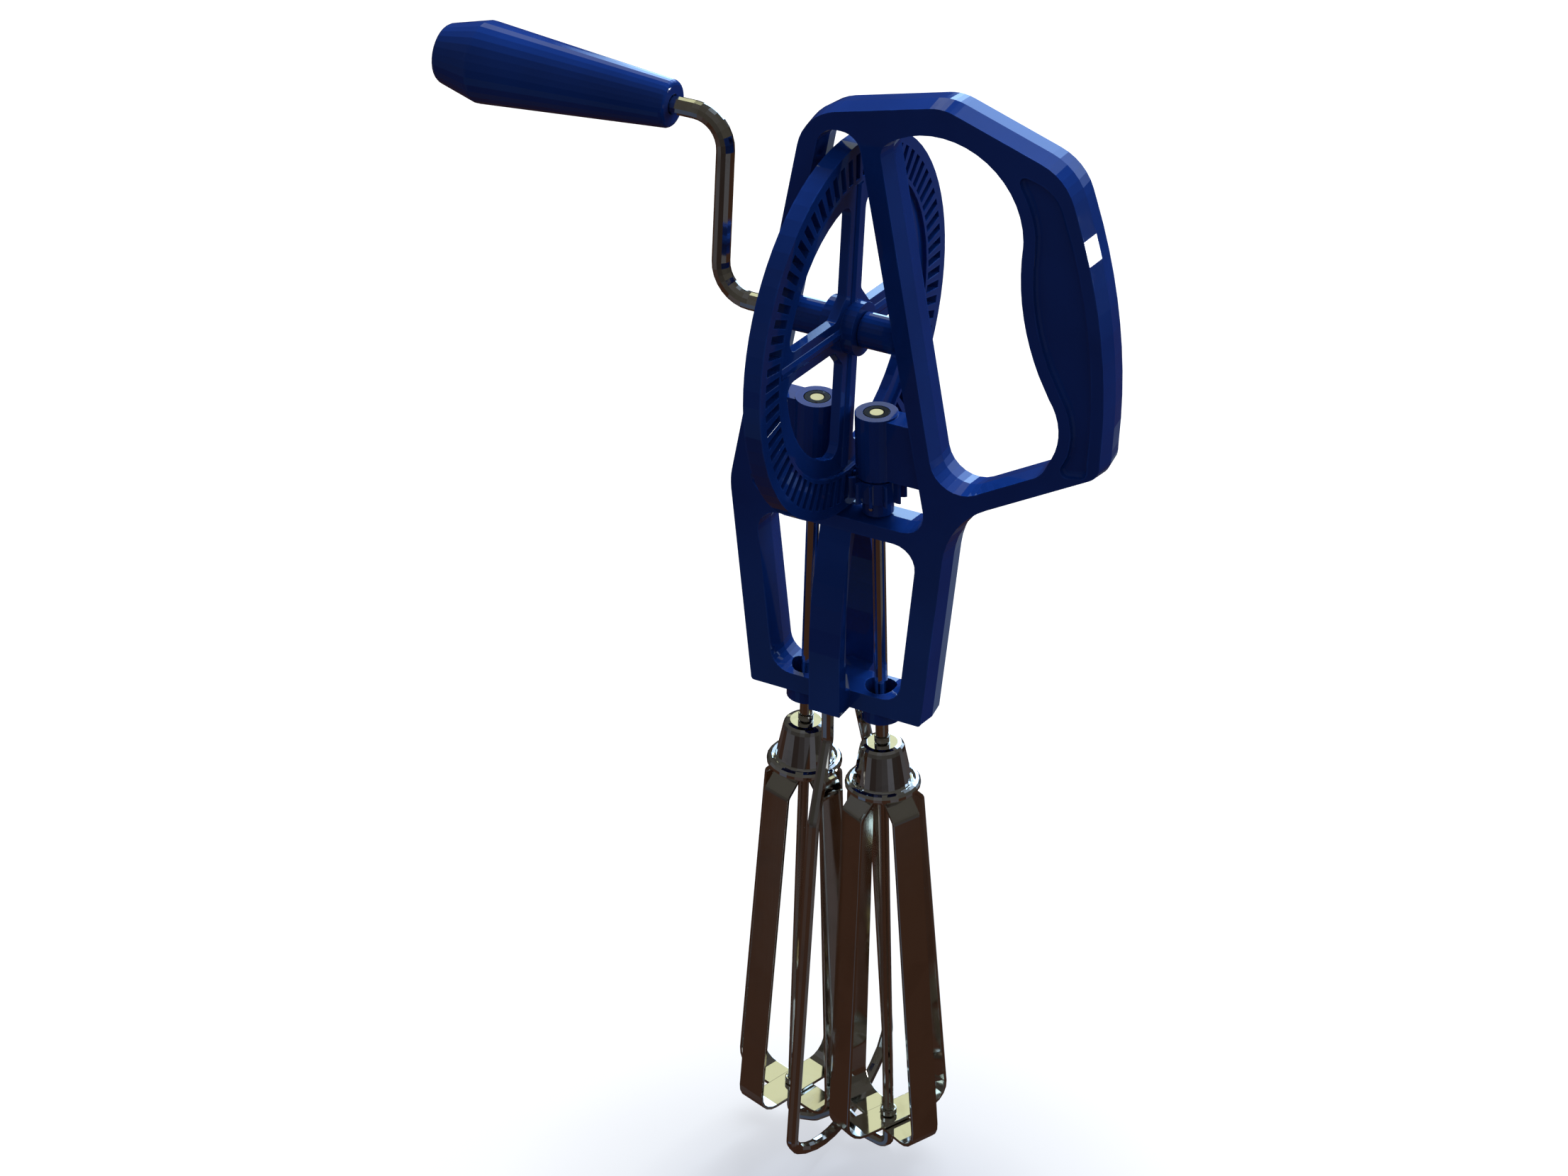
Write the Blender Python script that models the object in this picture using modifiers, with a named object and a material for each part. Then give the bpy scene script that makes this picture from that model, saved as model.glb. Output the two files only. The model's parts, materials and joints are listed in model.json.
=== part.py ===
"""Hand-cranked rotary egg beater.

The crank axle lies along X, the frame plate is parallel to the XZ plane and the front is -Y.
The origin is on the underside of the frame's bottom bar, midway between the two beater shafts.
Outline points are given relative to the crank axle, as (x, z) in metres.
"""

import math

import bmesh
import bpy
from mathutils import Matrix, Vector

# ---------------------------------------------------------------- driving dimensions, metres
AXLE_HEIGHT = 0.1090            # crank axle above the underside of the bottom bar
CLEARANCE = 0.00010             # radial gap of a pin or shaft in its hole
GAP = 0.0003                    # gap between faces that rest on each other
CUT_MARGIN = 0.0010             # how far a cutter runs past the face it opens

# Frame
FRAME_HALF = 0.0056             # half the plate's thickness
CROWN = 0.0007                  # how far the plate's edges bulge at mid thickness
BAR_UNDERSIDE = -0.1090
LOWER_WINDOW_BOTTOM = -0.1037
CROSSBAR_TOP = -0.0520
CROSSBAR_UNDERSIDE = -0.0560
POCKET_DEPTH = 0.0016
POCKET_LIP = 0.0004             # straight part of the pocket's wall, next to the face
POCKET_WALL = 0.0013            # width of the hollow wall round the pocket's floor
POCKET_WALL_STEPS = 3
POCKET_MARGIN = 0.0033          # strip of flat face between the handle's edge and the pocket
STRAP_HALF_WIDTH = 0.0045
STRAP_INSIDE = 0.0032           # y of the strap's inner face where it leaves the crossbar
STRAP_LANDING = 0.0010          # overlap of the strap with the crossbar and the bar
CROSSBAR_HOLE_RADIUS = 0.0024
AXLE_BOSS_RADIUS = 0.0046
AXLE_BOSS_END = 0.0185          # x where the axle bosses end inside the limbs
AXLE_BORE_START = -0.0300
HUB_SIDE_GAP = 0.0004

# Drive wheel and crank
WHEEL_RADIUS = 0.0500
WHEEL_TEETH = 72                # slots round the rim
RIM_HALF = 0.0024               # half the rim's width
RIM_INNER_RADIUS = 0.0394
WEB_HALF = 0.0013
SLOT_INNER_RADIUS = 0.0404
SLOT_OUTER_RADIUS = 0.0472
SLOT_WIDTH = 0.0021
WINDOW_INNER_RADIUS = 0.0090
WINDOW_OUTER_RADIUS = 0.0345
WINDOW_CORNER = 0.0030
WINDOW_INNER_CORNER = 0.0015
WEB_OVERLAP = 0.0005            # how far the spoke plate runs into the rim
SPOKE_HALF_WIDTH = 0.0040
BEAD_RADIUS = 0.0021
BEAD_SEAT = 0.0023              # how deep a spoke bead starts inside the hub
BEAD_STOP = 0.0012              # gap between a bead's end and the rim
HUB_RADIUS = 0.0070
HUB_HALF = 0.0047
WHEEL_PIN_RADIUS = 0.0010
WHEEL_PIN_PROUD = 0.0004
WHEEL_ANGLE = math.radians(-5.5)
ROD_RADIUS = 0.0024
CRANK_THROW = 0.0473            # axle to grip axis
ARM_X = -0.0365
BEND_RADIUS = 0.0090
ROD_AXLE_END = 0.0172
GRIP_SMALL_END = -0.0518        # x of the grip's inner end
GRIP_LENGTH = 0.0670
ROD_END_INSET = 0.0022          # rod's end inside the grip's free end
WASHER_RADIUS = 0.0043
WASHER_SEAT = 0.0030            # depth of the recess that holds the washer
WASHER_THICKNESS = 0.0013

# Beater shafts
PINION_TEETH = 11
PITCH_LEVEL = -0.0436           # wheel radius at which the pinions mesh, below the axle
PITCH_OFFSET = 0.0091           # shaft axis from the middle plane at that level
SHAFT_SLOPE = 0.0298            # sideways lean per unit of height
SHAFT_RADIUS = 0.00175
STEM_RADIUS = 0.00150           # shaft below its shoulder, through the beater
SHAFT_TOP = -0.0226
SHOULDER = -0.1184
SHAFT_BOTTOM = -0.2478
PINION_TIP_RADIUS = 0.00748
PINION_ROOT_RADIUS = 0.0056
PINION_PITCH_RADIUS = 0.0069
PINION_TOP = -0.0406
PINION_FACE_BOTTOM = -0.0465
PINION_HUB_RADIUS = 0.0041
PINION_HUB_BOTTOM = -0.0507
PINION_PIN_RADIUS = 0.0006
PINION_PIN_PROUD = 0.0002
SHAFT_END_CHAMFER = 0.0006
LEFT_BLADE_ANGLE = math.radians(-16.5)
RIGHT_BLADE_ANGLE = math.radians(-26.5)

# Upper bosses and bushes
BOSS_RADIUS = 0.0056
BOSS_TOP = -0.0225
BOSS_BOTTOM = -0.0400
BUSH_RADIUS = 0.00343
BOSS_WEB_HALF = 0.0034
WEB_INNER_END = 0.0090          # x where a web meets its boss
WEB_OUTER_END = 0.0246          # x inside the limb
LOWER_BOSS_RADIUS = 0.0054
LOWER_BOSS_BOTTOM = -0.1125
LOWER_BOSS_ROOT = 0.0020        # height of the lower boss inside the bar
LOWER_BORE_RADIUS = 0.00425
LOWER_BUSH_TOP = -0.1078
LOWER_BUSH_RECESS = 0.0002

# Beaters
CUP_TOP = -0.1208
CUP_RING_LEVEL = -0.1333
CUP_RING_RADIUS = 0.0102
CUP_RING_ROLL = 0.0013          # radius of the rolled ring's section
CUP_WALL = 0.0011
BLADE_TUCK = 0.0048             # radius where a blade's end sits inside the cup's mouth
BLADE_HALF_WIDTH = 0.0043
BLADE_THICKNESS = 0.0009
BLADE_TOP_RADIUS = 0.0101
BLADE_TOP = -0.1400
BLADE_BOTTOM_RADIUS = 0.0172
BLADE_BOTTOM = -0.2455
BLADE_CORNER = 0.0060
BLADE_SHOULDER = 0.0020         # bend radius below the cup
BLADE_MOUTH = 0.0008            # length of the blade's end below the ring's level
COLLAR_RADIUS = 0.0021
FERRULE_RADIUS = 0.0023
FERRULE_LENGTH = 0.0016

# Guard
WIRE_RADIUS = 0.00165
SOCKET_Y = 0.0093
SOCKET_DEPTH = 0.0055
BOW_KNEE = (0.0170, -0.1405)    # (y, z) where the legs turn down
BOW_NECK = -0.1180              # z where the legs leave the sockets' line
BOW_HALF_WIDTH = 0.0287
BOW_CHIN = 0.0255               # half the width of the bottom arc
BOW_CHIN_RISE = 0.0042
BOW_BOTTOM = -0.2523
BOW_SAG_RADIUS = 0.0420
YOKE_LEVEL = -0.2530
YOKE_DIP = 0.0015               # how far the yoke's turned-up ends dip before they rise
YOKE_END_GAP = 0.0005

# Centres and radii of the three arcs of the finger side of the handle window
PALM = (0.0270, 0.0365, 0.0230)
FINGER_RISE = (0.1156, 0.0290, 0.0660)
FINGER_HOLLOW = (0.0453, -0.0127, 0.0158)
BACK_ARC = (-0.0872, -0.0060, 0.1600)           # the handle's outer side

XZ_PLANE = Matrix.Rotation(math.pi / 2, 4, "X")         # (x, y, 0) to (x, 0, y)
YZ_PLANE = Matrix(((0, 0, 1, 0), (1, 0, 0, 0), (0, 1, 0, 0), (0, 0, 0, 1)))
ALONG_X = Matrix.Rotation(math.pi / 2, 4, "Y")
ALONG_Y = Matrix.Rotation(math.pi / 2, 4, "X")
PIN_DIRECTION = Matrix.Rotation(math.pi / 4, 4, "Z") @ ALONG_X
WHEEL_FRAME = Matrix.Rotation(WHEEL_ANGLE, 4, "X") @ YZ_PLANE

BLUE = (0.010, 0.045, 0.230, 1.0)
STEEL = (0.420, 0.400, 0.370, 1.0)
CHROME = (0.620, 0.610, 0.580, 1.0)
BLACK = (0.010, 0.010, 0.012, 1.0)


# ---------------------------------------------------------------- scene helpers
def clear_scene():
    for old in list(bpy.data.objects):
        bpy.data.objects.remove(old, do_unlink=True)


def material(name, colour, metallic, roughness):
    found = bpy.data.materials.get(name)
    if found:
        return found
    made = bpy.data.materials.new(name)
    made.use_nodes = True
    shader = made.node_tree.nodes["Principled BSDF"]
    shader.inputs["Base Color"].default_value = colour
    shader.inputs["Metallic"].default_value = metallic
    shader.inputs["Roughness"].default_value = roughness
    return made


def blue():
    return material("blue_plastic", BLUE, 0.0, 0.18)


def steel():
    return material("dark_steel", STEEL, 1.0, 0.22)


def chrome():
    return material("chrome", CHROME, 1.0, 0.08)


def black():
    return material("black_bush", BLACK, 0.0, 0.45)


def collection(name):
    found = bpy.data.collections.get(name)
    if not found:
        found = bpy.data.collections.new(name)
        bpy.context.scene.collection.children.link(found)
    return found


def mesh_object(name, mesh):
    made = bpy.data.objects.new(name, mesh)
    collection("egg_beater").objects.link(made)
    return made


def evaluated_mesh(source):
    bpy.context.view_layer.update()
    depsgraph = bpy.context.evaluated_depsgraph_get()
    return bpy.data.meshes.new_from_object(source.evaluated_get(depsgraph))


def bake(source):
    """Replace an object's mesh by its evaluated mesh, without modifiers."""
    mesh = evaluated_mesh(source)
    source.modifiers.clear()
    source.data = mesh
    return source


def move_mesh(source, matrix):
    source.data.transform(matrix)
    source.data.update()
    return source


def combine(target, tool, operation):
    """Union or difference of two solids that share one world frame."""
    boolean = target.modifiers.new(operation.lower(), "BOOLEAN")
    boolean.operation = operation
    boolean.object = tool
    boolean.solver = "EXACT"
    bake(target)
    welded(target.data)
    bpy.data.objects.remove(tool, do_unlink=True)
    return target


def finish(part, surface, sharp_degrees=35.0):
    part.data.materials.clear()
    part.data.materials.append(surface)
    part.data.shade_smooth()
    part.data.set_sharp_from_angle(angle=math.radians(sharp_degrees))
    return part


# ---------------------------------------------------------------- outlines
def arc(centre_x, centre_z, radius, start, end, steps):
    """Points of an arc, with its angles in degrees."""
    points = []
    for i in range(steps + 1):
        angle = math.radians(start + (end - start) * i / steps)
        x = centre_x + radius * math.cos(angle)
        points.append((x, centre_z + radius * math.sin(angle)))
    return points


def rounded(vertex, before, after, radius, steps):
    """Points of the fillet that replaces a corner."""
    corner = Vector(vertex)
    to_before = (Vector(before) - corner).normalized()
    to_after = (Vector(after) - corner).normalized()
    half = to_before.angle(to_after) / 2
    bisector = (to_before + to_after).normalized()
    centre = corner + bisector * (radius / math.sin(half))
    first = corner + to_before * (radius / math.tan(half)) - centre
    last = corner + to_after * (radius / math.tan(half)) - centre
    sweep = math.atan2(first.cross(last), first.dot(last))
    start = math.atan2(first.y, first.x)
    points = []
    for i in range(steps + 1):
        angle = start + sweep * i / steps
        points.append((centre.x + radius * math.cos(angle), centre.y + radius * math.sin(angle)))
    return points


def outline(items):
    """A closed loop from corners (x, z, radius, steps) and lists of arc points."""
    loop = []
    for i, item in enumerate(items):
        if isinstance(item, list):
            loop.extend(item)
            continue
        before = items[i - 1]
        after = items[(i + 1) % len(items)]
        before = before[-1] if isinstance(before, list) else before[:2]
        after = after[0] if isinstance(after, list) else after[:2]
        loop.extend(rounded(item[:2], before, after, item[2], item[3]))
    return loop


def circle(radius, steps):
    points = arc(0.0, 0.0, radius, 0.0, 360.0, steps)
    return points[:-1]


def shrunk(loop, distance):
    """A clockwise loop with its side moved inwards."""
    moved = []
    for i, point in enumerate(loop):
        here = Vector(point)
        before = (here - Vector(loop[i - 1])).normalized()
        after = (Vector(loop[(i + 1) % len(loop)]) - here).normalized()
        along = (before + after).normalized()
        inwards = Vector((along.y, -along.x))
        moved.append(tuple(here + inwards * distance))
    return moved


def thickened(path, thickness):
    """Closed outline of a strip of even thickness that follows an open path."""
    half = thickness / 2
    near = []
    far = []
    for i, point in enumerate(path):
        here = Vector(point)
        before = (here - Vector(path[i - 1])).normalized() if i else None
        after = (Vector(path[i + 1]) - here).normalized() if i + 1 < len(path) else None
        before = before or after
        after = after or before
        along = (before + after).normalized()
        normal = Vector((-along.y, along.x))
        reach = half / max(normal.dot(Vector((-before.y, before.x))), 0.5)
        near.append(tuple(here + normal * reach))
        far.append(tuple(here - normal * reach))
    return near + far[::-1]


# ---------------------------------------------------------------- solids
def plate(name, loops, half_thickness):
    """A flat solid parallel to XY: the first loop is its edge, the others are openings."""
    curve = bpy.data.curves.new(name, "CURVE")
    curve.dimensions = "2D"
    curve.fill_mode = "BOTH"
    curve.extrude = half_thickness
    for loop in loops:
        spline = curve.splines.new("POLY")
        spline.points.add(len(loop) - 1)
        for point, (x, y) in zip(spline.points, loop):
            point.co = (x, y, 0.0, 1.0)
        spline.use_cyclic_u = True
    flat = mesh_object(name + "_curve", curve)
    mesh = evaluated_mesh(flat)
    bpy.data.objects.remove(flat, do_unlink=True)
    return mesh_object(name, welded(mesh))


def welded(mesh):
    work = bmesh.new()
    work.from_mesh(mesh)
    bmesh.ops.remove_doubles(work, verts=work.verts, dist=2e-6)
    bmesh.ops.dissolve_degenerate(work, edges=work.edges, dist=1e-6)
    bmesh.ops.recalc_face_normals(work, faces=work.faces)
    work.to_mesh(mesh)
    work.free()
    return mesh


def turned(name, profile, steps):
    """A solid of revolution about Z; the profile runs down its outer side."""
    mesh = bpy.data.meshes.new(name)
    closed = profile[0][0] > 0
    edges = [(i, i + 1) for i in range(len(profile) - 1)]
    if closed:
        edges.append((len(profile) - 1, 0))
    mesh.from_pydata([(r, 0.0, z) for r, z in profile], edges, [])
    solid = mesh_object(name, mesh)
    screw = solid.modifiers.new("turn", "SCREW")
    screw.steps = steps
    screw.render_steps = steps
    screw.use_merge_vertices = True
    screw.merge_threshold = 0.00001
    return bake(solid)


def cylinder(name, radius, low, high, steps):
    """A cylinder about Z whose edges straddle the coordinate planes."""
    work = bmesh.new()
    bmesh.ops.create_cone(work, cap_ends=True, segments=steps, radius1=radius, radius2=radius,
                          depth=high - low)
    mesh = bpy.data.meshes.new(name)
    work.to_mesh(mesh)
    work.free()
    middle = Matrix.Translation((0, 0, (low + high) / 2))
    return move_mesh(mesh_object(name, mesh), middle @ Matrix.Rotation(math.pi / steps, 4, "Z"))


def sleeve(name, outer, inner, low, high, steps):
    return turned(name, [(outer, high), (outer, low), (inner, low), (inner, high)], steps)


def wire(name, points, radius, roundness):
    """A round rod along a path of points."""
    curve = bpy.data.curves.new(name, "CURVE")
    curve.dimensions = "3D"
    curve.bevel_depth = radius
    curve.bevel_resolution = roundness
    curve.use_fill_caps = True
    spline = curve.splines.new("POLY")
    spline.points.add(len(points) - 1)
    for point, co in zip(spline.points, points):
        point.co = (*co, 1.0)
    rod = mesh_object(name + "_curve", curve)
    mesh = evaluated_mesh(rod)
    bpy.data.objects.remove(rod, do_unlink=True)
    return mesh_object(name, welded(mesh))


def box(name, low, high):
    work = bmesh.new()
    size = Vector(high) - Vector(low)
    centre = (Vector(high) + Vector(low)) / 2
    bmesh.ops.create_cube(work, size=1.0)
    bmesh.ops.scale(work, vec=size, verts=work.verts)
    bmesh.ops.translate(work, vec=centre, verts=work.verts)
    mesh = bpy.data.meshes.new(name)
    work.to_mesh(mesh)
    work.free()
    return mesh_object(name, mesh)


# ---------------------------------------------------------------- frame
def outer_edge():
    return outline([
        (-0.0248, BAR_UNDERSIDE, 0.0008, 2),
        (-0.0308, -0.0494, 0.0200, 4),
        (-0.0097, 0.0580, 0.0140, 8),
        (0.0277, 0.0673, 0.0120, 5),
        (0.0606, 0.0563, 0.0140, 6),
        arc(*BACK_ARC, 19.3, -3.8, 10),
        (0.0723, -0.0219, 0.0050, 6),
        (0.0316, -0.0453, 0.0240, 8),
        (0.0251, BAR_UNDERSIDE, 0.0008, 2),
    ])


def wheel_window():
    low, high = 0.0261, 0.0052
    return outline([
        (-low, CROSSBAR_TOP, 0.0060, 6),
        (-high, 0.0554, 0.0054, 7),
        (high, 0.0554, 0.0054, 7),
        (low, CROSSBAR_TOP, 0.0060, 6),
    ])


def lower_window():
    return outline([
        (-0.0183, LOWER_WINDOW_BOTTOM, 0.0058, 6),
        (-0.0233, CROSSBAR_UNDERSIDE, 0.0062, 6),
        (0.0233, CROSSBAR_UNDERSIDE, 0.0062, 6),
        (0.0187, LOWER_WINDOW_BOTTOM, 0.0058, 6),
    ])


def handle_window():
    return outline([
        (0.0110, 0.0532, 0.0045, 4),
        arc(*PALM, 126.0, 2.0, 16),
        arc(*FINGER_RISE, 174.0, 204.0, 9),
        arc(*FINGER_HOLLOW, 35.0, -25.0, 8),
        (0.0568, -0.0254, 0.0080, 4),
        (0.0285, -0.0417, 0.0085, 8),
    ])


def grip_pocket():
    """Mouth of the recess in the handle's face, clockwise."""
    return outline([
        (0.0478, 0.0548, 0.0016, 5),
        (0.0585, 0.0520, 0.0100, 6),
        arc(BACK_ARC[0], BACK_ARC[1], BACK_ARC[2] - POCKET_MARGIN, 16.5, -4.6, 8),
        (0.0690, -0.0232, 0.0024, 5),
        (0.0607, -0.0246, 0.0018, 5),
        arc(FINGER_HOLLOW[0], FINGER_HOLLOW[1], FINGER_HOLLOW[2] + POCKET_MARGIN, -17.0, 33.0, 6),
        arc(FINGER_RISE[0], FINGER_RISE[1], FINGER_RISE[2] - POCKET_MARGIN, 203.0, 175.0, 7),
        arc(PALM[0], PALM[1], PALM[2] + POCKET_MARGIN, 6.0, 33.0, 5),
    ])


def crown_edges(mesh):
    """Push the edge surfaces outwards at mid thickness, leaving the underside flat."""
    work = bmesh.new()
    work.from_mesh(mesh)
    geometry = work.verts[:] + work.edges[:] + work.faces[:]
    bmesh.ops.bisect_plane(work, geom=geometry, plane_co=(0, 0, 0), plane_no=(0, 1, 0), dist=1e-7)
    work.normal_update()
    middle = [v for v in work.verts if abs(v.co.y) < 1e-6 and v.co.z > BAR_UNDERSIDE + CROWN]
    moves = []
    for vert in middle:
        outward = Vector((0.0, 0.0, 0.0))
        for face in vert.link_faces:
            outward += face.normal
        moves.append(outward.normalized() * CROWN)
    for vert, move in zip(middle, moves):
        vert.co += move
    work.to_mesh(mesh)
    work.free()


def strap(side):
    """Guard strap on the front (-1) or rear (1) of the plate, bowed out from the crossbar."""
    landing = CROSSBAR_TOP - STRAP_LANDING
    outer = [
        (FRAME_HALF - GAP, landing), (FRAME_HALF, CROSSBAR_UNDERSIDE), (0.0064, -0.0595),
        (0.0078, -0.0645), (0.0093, -0.0710), (0.0105, -0.0775), (0.0112, -0.0840),
        (0.0115, -0.0910), (0.0115, BAR_UNDERSIDE),
    ]
    inner = [
        (0.0050, BAR_UNDERSIDE), (0.0050, LOWER_WINDOW_BOTTOM),
        (0.0079, LOWER_WINDOW_BOTTOM + STRAP_LANDING),
        (0.0081, -0.0880), (0.0079, -0.0790), (0.0069, -0.0710), (0.0056, -0.0645),
        (0.0044, -0.0600), (STRAP_INSIDE, CROSSBAR_UNDERSIDE), (STRAP_INSIDE, landing),
    ]
    loop = [(side * y, z) for y, z in outer + inner]
    solid = plate("strap", [loop], STRAP_HALF_WIDTH)
    return move_mesh(solid, YZ_PLANE)


def shaft_matrix(side):
    """Frame of a beater shaft: origin on its axis at pitch level, Z up along it."""
    place = Matrix.Translation((side * PITCH_OFFSET, 0.0, PITCH_LEVEL))
    return place @ Matrix.Rotation(-side * math.atan(SHAFT_SLOPE), 4, "Y")


def on_shaft(level):
    """A level below the axle as a height in the shaft's own frame."""
    return (level - PITCH_LEVEL) * math.hypot(1.0, SHAFT_SLOPE)


def shaft_cylinder(side, radius, low, high, steps=20):
    solid = cylinder("shaft_cylinder", radius, on_shaft(low), on_shaft(high), steps)
    return move_mesh(solid, shaft_matrix(side))


def boss_web(side):
    """Plate that ties an upper boss to its limb."""
    ends = sorted((side * WEB_INNER_END, side * WEB_OUTER_END))
    low = (ends[0], -BOSS_WEB_HALF, BOSS_BOTTOM + GAP)
    high = (ends[1], BOSS_WEB_HALF, BOSS_TOP - GAP)
    return box("boss_web", low, high)


def add_bosses(frame):
    for side in (-1, 1):
        combine(frame, boss_web(side), "UNION")
        combine(frame, shaft_cylinder(side, BOSS_RADIUS, BOSS_BOTTOM, BOSS_TOP, 28), "UNION")
        lower = shaft_cylinder(side, LOWER_BOSS_RADIUS, LOWER_BOSS_BOTTOM,
                               BAR_UNDERSIDE + LOWER_BOSS_ROOT, 28)
        combine(frame, lower, "UNION")
        near = HUB_HALF + HUB_SIDE_GAP
        ends = sorted((side * near, side * AXLE_BOSS_END))
        boss = cylinder("axle_boss", AXLE_BOSS_RADIUS, ends[0], ends[1], 24)
        combine(frame, move_mesh(boss, ALONG_X), "UNION")


def cut_holes(frame):
    for side in (-1, 1):
        cutters = [
            shaft_cylinder(side, BUSH_RADIUS + CLEARANCE, BOSS_BOTTOM - CUT_MARGIN, BOSS_TOP + CUT_MARGIN),
            shaft_cylinder(side, CROSSBAR_HOLE_RADIUS, CROSSBAR_UNDERSIDE - CUT_MARGIN,
                           CROSSBAR_TOP + CUT_MARGIN, 16),
            shaft_cylinder(side, LOWER_BORE_RADIUS, LOWER_BOSS_BOTTOM - CUT_MARGIN,
                           LOWER_WINDOW_BOTTOM + CUT_MARGIN),
        ]
        socket = cylinder("socket", WIRE_RADIUS + CLEARANCE, BAR_UNDERSIDE - CUT_MARGIN,
                          BAR_UNDERSIDE + SOCKET_DEPTH, 12)
        cutters.append(move_mesh(socket, Matrix.Translation((0, side * SOCKET_Y, 0))))
        for cutter in cutters:
            combine(frame, cutter, "DIFFERENCE")
    axle_bore = cylinder("axle_bore", ROD_RADIUS + CLEARANCE, AXLE_BORE_START, ROD_AXLE_END + GAP, 16)
    combine(frame, move_mesh(axle_bore, ALONG_X), "DIFFERENCE")


def pocket_cutter(side):
    """Solid of one pocket: straight at the mouth, its wall curving into a flat floor."""
    mouth = grip_pocket()
    levels = [(CUT_MARGIN, 0.0)]
    for step in range(POCKET_WALL_STEPS + 1):
        turn = math.pi / 2 * step / POCKET_WALL_STEPS
        drop = POCKET_LIP + (POCKET_DEPTH - POCKET_LIP) * math.sin(turn)
        levels.append((-drop, POCKET_WALL * (1 - math.cos(turn))))
    work = bmesh.new()
    rings = []
    for lift, inset in levels:
        y = side * (FRAME_HALF + lift)
        rings.append([work.verts.new((x, y, z)) for x, z in shrunk(mouth, inset)])
    for outer, inner in zip(rings, rings[1:]):
        for i in range(len(outer)):
            work.faces.new((outer[i - 1], outer[i], inner[i], inner[i - 1]))
    work.faces.new(rings[0])
    work.faces.new(rings[-1])
    mesh = bpy.data.meshes.new("pocket")
    work.to_mesh(mesh)
    work.free()
    return mesh_object("pocket", welded(mesh))


def cut_pockets(frame):
    for side in (-1, 1):
        combine(frame, pocket_cutter(side), "DIFFERENCE")


def build_frame():
    loops = [outer_edge(), wheel_window(), lower_window(), handle_window()]
    frame = plate("frame", loops, FRAME_HALF)
    move_mesh(frame, XZ_PLANE)
    crown_edges(frame.data)
    for side in (-1, 1):
        combine(frame, strap(side), "UNION")
    add_bosses(frame)
    cut_holes(frame)
    cut_pockets(frame)
    return finish(frame, blue())


# ---------------------------------------------------------------- drive wheel
def slot(index):
    """Outline of one radial slot in the rim."""
    angle = 2 * math.pi * index / WHEEL_TEETH
    along = Vector((math.cos(angle), math.sin(angle)))
    across = Vector((-along.y, along.x)) * (SLOT_WIDTH / 2)
    corners = [
        along * SLOT_INNER_RADIUS - across, along * SLOT_OUTER_RADIUS - across,
        along * SLOT_OUTER_RADIUS + across, along * SLOT_INNER_RADIUS + across,
    ]
    return [tuple(corner) for corner in corners]


def spoke_window(index):
    """Opening between two spokes, in the quadrant of the given index."""
    tight = WINDOW_CORNER
    inner = WINDOW_INNER_RADIUS
    outer = WINDOW_OUTER_RADIUS
    side = SPOKE_HALF_WIDTH
    reach = math.sqrt(outer ** 2 - side ** 2)
    first = math.degrees(math.asin((side + tight) / (outer - tight)))
    quadrant = outline([
        (inner, side, WINDOW_INNER_CORNER, 3),
        (reach - tight * 0.4, side, tight, 4),
        arc(0.0, 0.0, outer, first, 90.0 - first, 9),
        (side, reach - tight * 0.4, tight, 4),
        (side, inner, WINDOW_INNER_CORNER, 3),
    ])
    turn = Matrix.Rotation(index * math.pi / 2, 2)
    return [tuple(turn @ Vector(point)) for point in quadrant]


def build_wheel():
    rim_loops = [circle(WHEEL_RADIUS, 72), circle(RIM_INNER_RADIUS, 48)]
    rim_loops += [slot(index) for index in range(WHEEL_TEETH)]
    wheel = plate("drive_wheel", rim_loops, RIM_HALF)
    web_loops = [circle(RIM_INNER_RADIUS + WEB_OVERLAP, 48)] + [spoke_window(index) for index in range(4)]
    combine(wheel, plate("web", web_loops, WEB_HALF), "UNION")
    combine(wheel, cylinder("hub", HUB_RADIUS, -HUB_HALF, HUB_HALF, 28), "UNION")
    for quarter in range(4):
        bead = cylinder("bead", BEAD_RADIUS, HUB_RADIUS - BEAD_SEAT, RIM_INNER_RADIUS - BEAD_STOP, 12)
        turn = Matrix.Rotation(quarter * math.pi / 2, 4, "Z")
        combine(wheel, move_mesh(bead, turn @ ALONG_X), "UNION")
    reach = HUB_HALF + CUT_MARGIN
    combine(wheel, cylinder("bore", ROD_RADIUS + CLEARANCE, -reach, reach, 16), "DIFFERENCE")
    reach = HUB_RADIUS + CUT_MARGIN
    pin_hole = cylinder("pin_hole", WHEEL_PIN_RADIUS + CLEARANCE, -reach, reach, 8)
    combine(wheel, move_mesh(pin_hole, PIN_DIRECTION), "DIFFERENCE")
    move_mesh(wheel, WHEEL_FRAME)
    return finish(wheel, blue(), 30.0)


def build_wheel_pin():
    half = HUB_RADIUS + WHEEL_PIN_PROUD
    pin = cylinder("wheel_pin", WHEEL_PIN_RADIUS, -half, half, 8)
    move_mesh(pin, WHEEL_FRAME @ PIN_DIRECTION)
    return finish(pin, steel())


# ---------------------------------------------------------------- crank
def crank_path():
    """Centre line of the rod in the plane of the crank, as (x, height above the axle)."""
    corner_low = rounded((ARM_X, 0.0), (0.0, 0.0), (ARM_X, CRANK_THROW), BEND_RADIUS, 8)
    far = GRIP_SMALL_END - GRIP_LENGTH
    corner_high = rounded((ARM_X, CRANK_THROW), (ARM_X, 0.0), (far, CRANK_THROW), BEND_RADIUS, 8)
    start = [(ROD_AXLE_END, 0.0)]
    end = [(far + ROD_END_INSET, CRANK_THROW)]
    return start + corner_low + corner_high + end


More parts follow.
